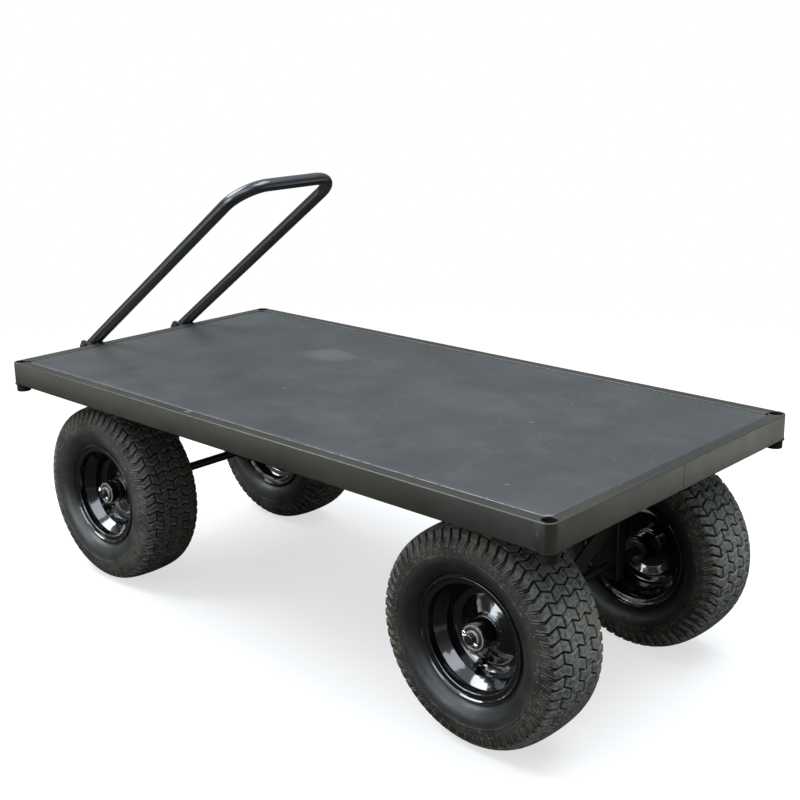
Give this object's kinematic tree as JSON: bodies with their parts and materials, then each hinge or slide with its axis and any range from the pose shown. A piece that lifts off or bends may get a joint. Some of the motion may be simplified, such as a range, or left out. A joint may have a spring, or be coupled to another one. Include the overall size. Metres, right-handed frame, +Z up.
{
  "type": "platform trolley",
  "caption": "Flat steel deck trolley on pneumatic turf wheels, with corner stake sockets, a turntable axle and a folding U handle.",
  "frame": {"origin": "on the ground under the middle of the overall box", "axes": "+X along the deck to the tail end, handle end at -X; +Y across; +Z up"},
  "size_m": [1.5922, 0.762, 0.9164],
  "materials": {
    "deck_paint": "semi-matt black paint, blue-grey under open sky, scuffed",
    "rim_paint": "semi-matt black paint",
    "frame_paint": "black paint",
    "wheel_paint": "gloss black enamel",
    "handle_paint": "gloss black paint",
    "tyre_rubber": "matt turf tyre with a block tread",
    "valve_rubber": "matt",
    "bearing_steel": "ground",
    "zinc_plate": "zinc plated"
  },
  "bodies": {
    "deck": {"deck_panel": "deck_paint", "rail_near": "rim_paint", "rail_far": "rim_paint", "rail_handle_end": "rim_paint", "rail_tail_end": "rim_paint", "socket_handle_near": "rim_paint", "socket_handle_far": "rim_paint", "socket_tail_near": "rim_paint", "socket_tail_far": "rim_paint", "bearer_tail": "frame_paint", "bearer_mid_tail": "frame_paint", "bearer_mid_handle": "frame_paint", "bearer_ring_tail": "frame_paint", "bearer_ring_handle": "frame_paint", "tail_leg_near": "frame_paint", "tail_leg_far": "frame_paint", "tail_axle": "frame_paint", "tail_tie": "frame_paint", "ring_plate_upper": "frame_paint", "kingpin_bolt": "zinc_plate", "kingpin_nut": "zinc_plate", "bracket_near": "frame_paint", "bracket_far": "frame_paint", "pivot_bolt_near": "zinc_plate", "pivot_bolt_far": "zinc_plate", "pivot_nut_near": "zinc_plate", "pivot_nut_far": "zinc_plate", "washer_tail_near": "zinc_plate", "washer_tail_far": "zinc_plate", "split_pin_tail_near": "zinc_plate", "split_pin_tail_far": "zinc_plate"},
    "turntable": {"ring_race": "bearing_steel", "ring_plate_lower": "frame_paint", "steer_leg_near": "frame_paint", "steer_leg_far": "frame_paint", "steer_axle": "frame_paint", "steer_tie": "frame_paint", "washer_steer_near": "zinc_plate", "washer_steer_far": "zinc_plate", "split_pin_steer_near": "zinc_plate", "split_pin_steer_far": "zinc_plate"},
    "handle": {"handle_tube": "handle_paint"},
    "wheel_set_tail_near": {"tyre_tail_near": "tyre_rubber", "wheel_tail_near": "wheel_paint", "bearing_tail_near": "bearing_steel", "valve_tail_near": "valve_rubber"},
    "wheel_set_tail_far": {"tyre_tail_far": "tyre_rubber", "wheel_tail_far": "wheel_paint", "bearing_tail_far": "bearing_steel", "valve_tail_far": "valve_rubber"},
    "wheel_set_steer_near": {"tyre_steer_near": "tyre_rubber", "wheel_steer_near": "wheel_paint", "bearing_steer_near": "bearing_steel", "valve_steer_near": "valve_rubber"},
    "wheel_set_steer_far": {"tyre_steer_far": "tyre_rubber", "wheel_steer_far": "wheel_paint", "bearing_steer_far": "bearing_steel", "valve_steer_far": "valve_rubber"}
  },
  "joints": [
    {"name": "steer", "type": "hinge", "parent": "deck", "child": "turntable", "pos_m": [-0.50585, 0, 0.203], "axis": [0, 0, 1], "range_deg": [-45, 45]},
    {"name": "handle_fold", "type": "hinge", "parent": "deck", "child": "handle", "pos_m": [-0.77385, 0, 0.4768], "axis": [0, -1, 0], "range_deg": [0, 175]},
    {"name": "spin_tail_near", "type": "hinge", "parent": "deck", "child": "wheel_set_tail_near", "pos_m": [0.57515, -0.2525, 0.203], "axis": [0, 1, 0], "continuous": true},
    {"name": "spin_tail_far", "type": "hinge", "parent": "deck", "child": "wheel_set_tail_far", "pos_m": [0.57515, 0.2525, 0.203], "axis": [0, 1, 0], "continuous": true},
    {"name": "spin_steer_near", "type": "hinge", "parent": "turntable", "child": "wheel_set_steer_near", "pos_m": [-0.50585, -0.2525, 0.203], "axis": [0, 1, 0], "continuous": true},
    {"name": "spin_steer_far", "type": "hinge", "parent": "turntable", "child": "wheel_set_steer_far", "pos_m": [-0.50585, 0.2525, 0.203], "axis": [0, 1, 0], "continuous": true}
  ]
}
